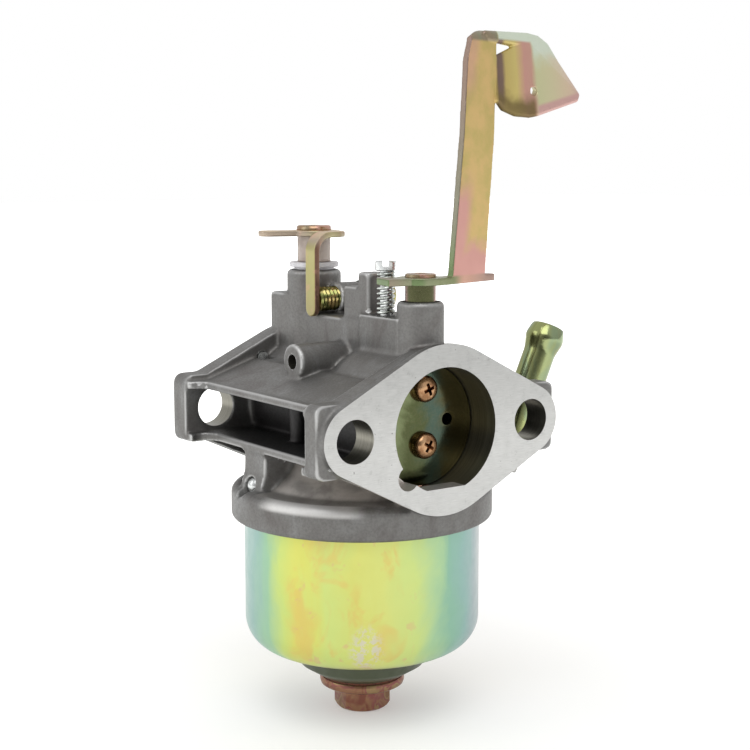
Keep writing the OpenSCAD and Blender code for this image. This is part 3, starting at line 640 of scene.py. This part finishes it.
def cad_copy(name, node, material):
    """Copy of a CAD node's mesh with its seams welded."""
    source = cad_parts[node].data
    mesh = bpy.data.meshes.new(name)
    bm = bmesh.new()
    bm.from_mesh(source)
    bmesh.ops.remove_doubles(bm, verts=bm.verts, dist=2e-6)
    bm.to_mesh(mesh)
    bm.free()
    mesh.materials.clear()
    obj = bpy.data.objects.new(name, mesh)
    scene.collection.objects.link(obj)
    mesh.materials.append(material)
    for poly in mesh.polygons:
        poly.material_index = 0
    return obj


def soften(obj, voxel, rounds, keep=1.0):
    """Merges the overlapping solids of a mesh and rounds their edges."""
    materials = list(obj.data.materials)
    mod = obj.modifiers.new("merge", "REMESH")
    mod.mode, mod.voxel_size = "VOXEL", voxel * MM
    mod = obj.modifiers.new("round", "SMOOTH")
    mod.factor, mod.iterations = 0.5, rounds
    if keep < 1:
        mod = obj.modifiers.new("thin", "DECIMATE")
        mod.ratio = keep
    applied(obj)
    obj.data.materials.clear()
    for m in materials:
        obj.data.materials.append(m)
    return obj


def finish_piece(obj, body, nodes=(), crease=38):
    mesh = obj.data
    for poly in mesh.polygons:
        poly.use_smooth = True
    mesh.set_sharp_from_angle(angle=radians(crease))
    if nodes:
        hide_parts(*nodes)
    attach(obj, body)
    return obj


# ---------------------------------------------------------------- casting

def oval(mid_r, ear_r):
    """Outline of the air flange's face: a disc joined to two round ears."""
    slope = (mid_r - ear_r) / STUD_X
    a = 90 - degrees(atan2(slope, (1 - slope ** 2) ** 0.5))
    out = arc(STUD_X, 0, ear_r, -a, a)
    out += arc(0, 0, mid_r, a, 180 - a, 40)
    out += arc(-STUD_X, 0, ear_r, 180 - a, 180 + a)
    out += arc(0, 0, mid_r, 180 + a, 360 - a, 40)
    return out


def air_shape(outline, y0, y1, name):
    """Outline drawn in X and Z, extruded from y0 down to y1."""
    obj = prism(name, outline, 0, y0 - y1)
    return place(obj, shift(0, y0, 0) @ TOWARD_AIR)


def upright(name, x, y, r, z0, z1, material=None):
    return place(rod(name, r, z0, z1, material), shift(x, y, 0))


def across(name, x0, x1, y, z, r, material=None):
    return place(rod(name, r, 0, x1 - x0, material), shift(x0, y, z) @ ALONG_X)


def square_ear():
    """Outline of the engine flange, with square ears."""
    mid, end_x, ear_h, r, rise = 15.9, 28.3, 7, 2.2, 24.6
    c, s = cos(radians(rise)), sin(radians(rise))
    foot = (mid - ear_h * c) / s
    right = [(mid * s, -mid * c), (foot, -ear_h), (end_x, -ear_h), (end_x, ear_h), (foot, ear_h),
             (mid * s, mid * c)]
    right = fillet(right, [0, 3, r, r, 3, 0])
    left = [(-x, z) for x, z in reversed(right)]
    top = arc(0, 0, mid, 90 - rise, 90 + rise)
    low = arc(0, 0, mid, 270 - rise, 270 + rise)
    return right + top[1:-1] + left + low[1:-1]


def bore_tool():
    profile = [(0, 3), (10, 3), (10, -17.55), (8.2, -25.45), (8.2, -28.6), (12, -33.6), (12, -58),
               (0, -58)]
    tool = lathe("bore_tool", [(r, -y) for r, y in profile], BORE, 128)
    place(tool, TOWARD_AIR)
    land = box("land", (-9, -55.2, -13), (9, -51.2, -11.1), CAST)
    return cut(tool, [land])


def casting():
    """Machined from a rough blank: holes and faces filled, edges rounded, then cut again."""
    blank = cad_copy("body_casting", "carb_body", CAST)
    fill = [place(rod("f", 12.2, 28, 57), TOWARD_AIR), place(rod("f", 10.3, -1.5, 26), TOWARD_AIR),
            air_shape(oval(16.4, 6.8), -53.6, -56.2, "f"), air_shape(square_ear(), 1.2, -1, "f")]
    for x in (-STUD_X, STUD_X):
        fill.append(place(rod("f", 4.4, -1, 4), shift(x, 0, 0) @ TOWARD_AIR))
        fill.append(place(rod("f", 4.4, 49.9, 56), shift(x, 0, 0) @ TOWARD_AIR))
    fill += [upright("f", 0, CHOKE_Y, 4.1, CHOKE_TOP - 4, CHOKE_TOP),
             across("f", -16.5, -12, -27, 11.3, 1.7), across("f", -0.3, 5.6, STOP_Y, STOP_Z, 2.8)]
    blank = join("body_casting", [blank] + fill, CAST)
    soften(blank, 0.36, 6)
    tools = [box("t", (-60, -70, -70), (60, AIR_FACE_Y, 60), MACHINED),
             box("t", (-60, 0, -70), (60, 20, 60), MACHINED), bore_tool()]
    for x in (-STUD_X, STUD_X):
        tools.append(place(rod("t", 4.1, -2, 6, BORE), shift(x, 0, 0) @ TOWARD_AIR))
        tools.append(place(rod("t", 4.1, 48, 57, BORE), shift(x, 0, 0) @ TOWARD_AIR))
    tools += [place(rod("t", 2.4, 51, 57, CAST), shift(-8.9, 0, -8.2) @ TOWARD_AIR),
              upright("t", 0, CHOKE_Y, 3.9, CHOKE_TOP - 1.6, CHOKE_TOP + 2, BORE),
              upright("t", 0, CHOKE_Y, 2.55, 10, CHOKE_TOP + 2, BORE),
              upright("t", 0, THROTTLE_Y, 2.55, 8, THROTTLE_TOP + 2, BORE),
              upright("t", PILOT_X, PILOT_Y, 1.8, 15.6, 24, BORE),
              across("t", -18, -12.6, -27, 11.3, 1.5, BORE),
              across("t", -4, 8, STOP_Y, STOP_Z, 2.55, BORE)]
    cut(blank, tools)
    # Only faces that lie in the two flange planes stay machined
    flat = blank.data.materials.find(MACHINED.name)
    for poly in blank.data.polygons:
        off = min(abs(poly.center.y), abs(poly.center.y - AIR_FACE_Y * MM))
        if poly.material_index == flat and off > 0.02 * MM:
            poly.material_index = 0
    return finish_piece(blank, ROOT, ["carb_body"], 32)


casting()


# ---------------------------------------------------------------- float bowl and its bolt

def bowl():
    def outline(t):
        r, corner, low = 24 - t, 6.5 - t, -48.2 + t
        side = [(r - corner + corner * cos(radians(a)), low + corner + corner * sin(radians(a)))
                for a in range(0, -91, -6)]
        return side + [(15.2 - t, low), (14.4 - t * 0.9, low - 0.35), (12.9 - t * 0.8, -52 + t),
                       (9.3 - t * 0.6, -54.3 + t), (8.6 - t, -54.5 + t)]
    outer, inner = outline(0), outline(0.9)
    profile = [(24, -19.2)] + outer + [(3.2, -54.5), (3.2, -53.6)] + inner[::-1] + [(23.1, -19.2)]
    obj = lathe("bowl_shell", profile, BOWL, 160)
    place(obj, shift(0, BOWL_Y, 0))
    finish_piece(obj, ROOT, ["float_bowl"], 50)


def bowl_bolt():
    corners = [(5.77 * cos(radians(20 + 60 * k)), 5.77 * sin(radians(20 + 60 * k))) for k in range(6)]
    head = prism("bolt_head", corners, -61.9, -57, BOLT)
    rounded = lathe("bolt_round", [(0, -61.9), (4.7, -61.9), (5.3, -61.6), (5.9, -60.9), (5.9, -56.9),
                                   (0, -56.9)], BOLT, 72)
    cut(head, [rounded], "INTERSECT")
    flange = lathe("bolt_flange", [(0, -57.2), (5.2, -57.2), (7.9, -57.1), (8.55, -56.7), (8.75, -56.1),
                                   (8.75, -55.5), (8.5, -55.1), (0, -55.1)], BOLT, 96)
    shank = lathe("bolt_shank", [(0, -55.2), (3, -55.2), (3, -45.3), (2.4, -44.8), (0, -44.8)], BOLT, 48)
    obj = join("bowl_bolt_piece", [head, flange, shank], BOLT)
    place(obj, shift(0, BOWL_Y, 0))
    mod = obj.modifiers.new("edge", "BEVEL")
    mod.width, mod.segments, mod.angle_limit = 0.22 * MM, 3, radians(35)
    applied(obj)
    finish_piece(obj, ROOT, ["bowl_bolt"])


def ring_piece(name, node, x, y, z0, z1, r_out, r_in, edge, material, body=ROOT):
    profile = [(r_in, z0), (r_out, z0), (r_out, z1), (r_in, z1)]
    obj = lathe(name, profile, material, 96, [edge * 0.5, edge, edge, edge * 0.5])
    place(obj, shift(x, y, 0))
    return finish_piece(obj, body, [node])


bowl()
bowl_bolt()
ring_piece("bolt_washer_piece", "bowl_bolt_washer", 0, BOWL_Y, -55.1, -54.5, 8.4, 3.2, 0.2, FIBRE)
ring_piece("washer_piece", "throttle_washer", 0, THROTTLE_Y, THROTTLE_TOP + 0.5, THROTTLE_TOP + 1.5,
           5.15, 2.55, 0.28, WHITE_NYLON)
ring_piece("washer_neck", "throttle_washer", 0, THROTTLE_Y, THROTTLE_TOP, THROTTLE_TOP + 0.6,
           4.2, 2.55, 0.05, WHITE_NYLON)
ring_piece("collar_piece", "throttle_collar", 0, THROTTLE_Y, THROTTLE_TOP + 1.55, THROTTLE_PLATE_Z,
           3.45, 2.5, 0.25, PINK_NYLON, "throttle")
ring_piece("seal_piece", "choke_shaft_seal", 0, CHOKE_Y, CHOKE_TOP - 1.6, CHOKE_TOP, 3.85, 2.55, 0.3,
           FELT)


# ---------------------------------------------------------------- fuel barb

def barb():
    top = BARB_LEN - 2
    outer = [(3.4, 3.2), (3.4, top - 6.2), (3.48, top - 5.6), (3.66, top - 4.8), (3.92, top - 3.8),
             (4.05, top - 3.3), (4.1, top - 2.8), (4.07, top - 2.3), (3.85, top - 1.4), (3.6, top - 0.5),
             (3.4, top - 0.12), (3.1, top)]
    inner = [(2.2, top), (1.9, top - 0.3), (1.9, 3.2)]
    obj = lathe("fuel_barb_piece", outer + inner, TUBE, 72)
    collar = lathe("barb_base", [(1.9, -2), (3, -2), (3, 3), (3.3, 3.15), (3.39, 3.4), (1.9, 3.4)], TUBE, 72)
    obj = join("fuel_barb_piece", [obj, collar], TUBE)
    place(obj, shift(*BARB_FOOT) @ turn(BARB_LEAN, "Y"))
    finish_piece(obj, ROOT, ["fuel_inlet_tube"], 50)


barb()


# ---------------------------------------------------------------- springs and screws

def cross_recess(size, depth, z):
    """Cross-shaped cutter for a recessed head, its arms tapering downwards."""
    parts = []
    for a in (0, 90):
        w, d = size, 0.42
        verts = [(-w, -d, z + 1), (w, -d, z + 1), (w, d, z + 1), (-w, d, z + 1),
                 (-w * 0.35, -d * 0.5, z - depth), (w * 0.35, -d * 0.5, z - depth),
                 (w * 0.35, d * 0.5, z - depth), (-w * 0.35, d * 0.5, z - depth)]
        faces = [(0, 1, 2, 3), (7, 6, 5, 4), (0, 4, 5, 1), (1, 5, 6, 2), (2, 6, 7, 3), (3, 7, 4, 0)]
        parts.append(place(new_object("c", verts, faces, COPPER), turn(a, "Z")))
    return parts


def plate_screws(name, node, y, heights, body, spin):
    pieces = []
    for k, z in enumerate(heights):
        head = lathe("h", [(0, 0.9), (2.55, 0.9), (2.62, 1.2), (2.6, 1.9), (2.3, 2.5), (1.7, 2.85),
                           (0.9, 2.98), (0, 3.0)], COPPER, 64)
        cut(head, cross_recess(1.7, 1.5, 2.98))
        shank = rod("s", 1.25, -2.2, 1.0, COPPER, 32)
        piece = join("p", [head, shank], COPPER)
        pieces.append(place(piece, shift(0, y, z) @ TOWARD_AIR @ turn(spin + 38 * k, "Z")))
    finish_piece(join(name, pieces, COPPER), body, [node], 45)


def idle_screw():
    body = thread("idle_screw_piece", 2.5, 0.32, 0.9, 0, 15.7, SCREW_GOLD)
    head = lathe("h", [(0, 15.5), (3.5, 15.5), (3.7, 15.7), (3.7, 17.5), (3.1, 18.2), (0, 18.2)],
                 SCREW_GOLD, 64)
    slots = [place(box("s", (-2, -0.4, 16.8), (2, 0.4, 20), SCREW_GOLD), turn(a, "Z")) for a in (0, 90)]
    cut(head, slots)
    obj = join("idle_screw_piece", [body, head], SCREW_GOLD)
    place(obj, shift(-4.68, STOP_Y, STOP_Z) @ ALONG_X)
    finish_piece(obj, "idle_stop", ["idle_stop_screw"], 30)


def pilot():
    head = lathe("h", [(0, 29.3), (1.85, 29.3), (2.08, 29.5), (2.08, 31), (1.9, 31.2), (0, 31.2)], BRIGHT, 64)
    cut(head, [place(box("s", (-3, -0.6, 30), (3, 0.6, 33), BRIGHT), turn(54, "Z"))])
    neck = lathe("n", [(0, 15.6), (1.1, 15.6), (1.1, 29.4), (0, 29.4)], BRIGHT, 48)
    tip = lathe("t", [(0, 13.9), (0.35, 13.9), (1.1, 15.6), (1.1, 15.8), (0, 15.8)], BRIGHT, 32)
    screw = thread("w", 1.75, 0.2, 0.6, 16.4, 20, BRIGHT)
    obj = join("pilot_screw_piece", [head, neck, tip, screw], BRIGHT)
    place(obj, shift(PILOT_X, PILOT_Y, 0))
    finish_piece(obj, "pilot", ["pilot_screw"], 30)
    spring = coil("pilot_spring_piece", 1.5, 0.32, 9, 29.3 - 20.6, SPRING)
    place(spring, shift(PILOT_X, PILOT_Y, 20.6))
    finish_piece(spring, ROOT, ["pilot_screw_spring"], 60)


def idle_spring():
    spring = coil("idle_spring_piece", 3.05, 0.4, 5, -4.7 + 15.6 - 5.6, SPRING)
    place(spring, shift(5.6, STOP_Y, STOP_Z) @ ALONG_X)
    finish_piece(spring, ROOT, ["idle_stop_spring"], 60)


plate_screws("choke_plate_screws_piece", "choke_plate_screws", CHOKE_Y, (7.1, -3.9), "choke", 20)
plate_screws("throttle_plate_screws_piece", "throttle_plate_screws", THROTTLE_Y, (5, -5), "throttle", 50)
idle_screw()
idle_spring()
pilot()


# ---------------------------------------------------------------- plates, shafts and levers

def butterfly(name, node, y, r, z_mid, reach, body, material, bleed=None):
    disc = lathe(name, [(0, 0), (r, 0), (r, 0.9), (0, 0.9)], material, 128, [0, 0.12, 0.12, 0])
    holes = [place(rod("h", 1.25, -1, 2, material, 32), shift(0, z_mid + s * reach, 0)) for s in (-1, 1)]
    if bleed:
        holes.append(place(rod("b", 1.25, -1, 2, material, 32), shift(*bleed, 0)))
    cut(disc, holes)
    place(disc, shift(0, y, 0) @ TOWARD_AIR)
    finish_piece(disc, body, [node])


def shafts():
    head = lathe("h", [(0, 35.8), (2.3, 35.8), (2.3, 36), (3.55, 36), (3.6, 36.3), (3.55, 36.9),
                       (3.25, 37.1), (0, 37.1)], SHAFT, 72)
    cut(head, [rod("d", 1.1, 36.85, 38, SHAFT, 32)])
    shaft = cad_copy("throttle_shaft_piece", "throttle_shaft", SHAFT)
    cut(shaft, [place(rod("d", 5, 35.98, 38, SHAFT, 32), shift(0, THROTTLE_Y, 0))])
    place(head, shift(0, THROTTLE_Y, 0))
    finish_piece(join("throttle_shaft_piece", [shaft, head], SHAFT), "throttle", ["throttle_shaft"])
    head = lathe("h", [(0, 28.1), (2.3, 28.1), (2.3, 28.3), (2.95, 28.3), (3, 28.5), (2.95, 28.95),
                       (2.7, 29.1), (1.2, 29.1), (1.0, 28.9), (0, 28.9)], SHAFT, 72)
    foot = CHOKE_TOP + 0.06
    stub = lathe("s", [(0, foot), (2.95, foot), (2.95, CHOKE_PLATE_Z), (0, CHOKE_PLATE_Z)], STUB, 72)
    shaft = cad_copy("choke_shaft_piece", "choke_shaft", SHAFT)
    cut(shaft, [place(rod("d", 5, 28.28, 30, SHAFT, 32), shift(0, CHOKE_Y, 0))])
    for p in (head, stub):
        place(p, shift(0, CHOKE_Y, 0))
    finish_piece(stub, "choke")
    stub.name = "choke_shaft_stub"
    finish_piece(join("choke_shaft_piece", [shaft, head], SHAFT), "choke", ["choke_shaft"])


def levers():
    for name, node, body, slot, material in (
            ("choke_lever_piece", "choke_lever", "choke", "yellow_zinc_strap", STRAP),
            ("throttle_lever_piece", "throttle_lever", "throttle", "yellow_zinc_lever", LEVER)):
        obj = cad_copy(name, node, material)
        soften(obj, 0.16, 8, 0.5)
        finish_piece(obj, body, [node], 60)


butterfly("choke_plate_piece", "choke_plate", CHOKE_Y, 11.85, 1.6, 5.5, "choke", PLATE,
          (5.9, 0.6))
butterfly("throttle_plate_piece", "throttle_plate", THROTTLE_Y, 9.87, 0, 5, "throttle", BRASS_PLATE)
shafts()
levers()

CARRIED = {"passage_plugs": BRIGHT, "pilot_jet": BRASS, "bowl_gasket": RUBBER, "float": PLASTIC,
           "float_pin": BRIGHT, "needle_valve": NEEDLE, "needle_seat": BRASS, "main_jet": BRASS,
           "main_nozzle": BRASS}
for node_name, material in CARRIED.items():
    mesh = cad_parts[node_name].data
    mesh.materials.clear()
    mesh.materials.append(material)


# ---------------------------------------------------------------- stage, light, camera

def add_floor():
    s = Shader("floor")
    floor = new_object("floor", [(-4000, -4000, FLOOR_Z), (4000, -4000, FLOOR_Z), (4000, 4000, FLOOR_Z),
                                 (-4000, 4000, FLOOR_Z)], [(0, 1, 2, 3)], s.material)
    grain = s.noise(0.05, 2, 0.5)
    base = s.mix(grain, (0.68, 0.68, 0.67), (0.7, 0.7, 0.69))
    away = s.node("ShaderNodeVectorMath", operation="DISTANCE")
    s.plug(away.inputs[0], s.pos)
    away.inputs[1].default_value = (0, BOWL_Y, 0)
    away = away.outputs["Value"]
    # Painted shadow: the floor's glow is zero near the part and rises with distance
    painted_shadow_glow = s.math("ADD", s.span(away, 20, 60, 0, 0.3), s.span(away, 60, 420, 0, 0.75))
    s.set(Base_Color=base, Roughness=0.8, Emission_Color=(1, 1, 0.99), Emission_Strength=painted_shadow_glow)


def area_light(name, at, target, size, power, size_y=None):
    data = bpy.data.lights.new(name, "AREA")
    data.energy, data.size = power, size
    if size_y:
        data.shape, data.size_y = "RECTANGLE", size_y
    obj = bpy.data.objects.new(name, data)
    at, target = Vector(at), Vector(target)
    obj.matrix_world = Matrix.Translation(at) @ (at - target).to_track_quat("Z", "Y").to_matrix().to_4x4()
    scene.collection.objects.link(obj)


def add_world():
    """White for the camera; for light and reflections, a bright studio with a dark card."""
    world = bpy.data.worlds.new("world")
    scene.world = world
    world.use_nodes = True
    tree = world.node_tree
    tree.nodes.clear()
    add = tree.nodes.new
    coords = add("ShaderNodeTexCoord")

    def lobe(direction, stops):
        dot = add("ShaderNodeVectorMath")
        dot.operation = "DOT_PRODUCT"
        dot.inputs[1].default_value = Vector(direction).normalized()
        tree.links.new(coords.outputs["Generated"], dot.inputs[0])
        ramp = add("ShaderNodeValToRGB")
        while len(ramp.color_ramp.elements) < len(stops):
            ramp.color_ramp.elements.new(0.5)
        for element, (at, v) in zip(ramp.color_ramp.elements, stops):
            element.position, element.color = at, (v, v, v, 1)
        tree.links.new(dot.outputs["Value"], ramp.inputs[0])
        return ramp.outputs[0]

    def product(a, b):
        n = add("ShaderNodeMix")
        n.data_type, n.blend_type = "RGBA", "MULTIPLY"
        n.inputs[0].default_value = 1
        tree.links.new(a, n.inputs[6])
        tree.links.new(b, n.inputs[7])
        return n.outputs[2]

    sky = lobe((0, 0, 1), [(0.0, 0.78), (0.35, 0.95), (0.8, 1.0)])
    card = lobe((-0.6, -0.8, 0.05), [(0.72, 1.0), (0.9, 0.5), (0.99, 0.22)])
    lit, seen = add("ShaderNodeBackground"), add("ShaderNodeBackground")
    tree.links.new(product(sky, card), lit.inputs[0])
    lit.inputs[1].default_value = SKY
    seen.inputs[0].default_value = (1, 1, 1, 1)
    path, mix, out = add("ShaderNodeLightPath"), add("ShaderNodeMixShader"), add("ShaderNodeOutputWorld")
    tree.links.new(path.outputs["Is Camera Ray"], mix.inputs[0])
    tree.links.new(lit.outputs[0], mix.inputs[1])
    tree.links.new(seen.outputs[0], mix.inputs[2])
    tree.links.new(mix.outputs[0], out.inputs[0])


def add_camera():
    a, e = radians(AZIMUTH), radians(PITCH)
    back = Vector((sin(a) * cos(e), -cos(a) * cos(e), sin(e)))
    right = Vector((0, 0, 1)).cross(back).normalized()
    up = back.cross(right)
    data = bpy.data.cameras.new("camera")
    data.sensor_width = 36
    data.lens = LENS
    data.clip_start = 0.01
    cam = bpy.data.objects.new("camera", data)
    m = Matrix((right, up, back)).transposed().to_4x4()
    m.translation = Vector(CAMERA_AT) * MM
    cam.matrix_world = m
    scene.collection.objects.link(cam)
    scene.camera = cam


add_floor()
add_world()
area_light("top", (-0.28, -0.38, 0.6), (0, -0.03, 0), 0.5, 1.8)
area_light("left", (-0.7, 0.25, 0.35), (0, -0.03, 0), 0.4, 1.0, 0.6)
add_camera()
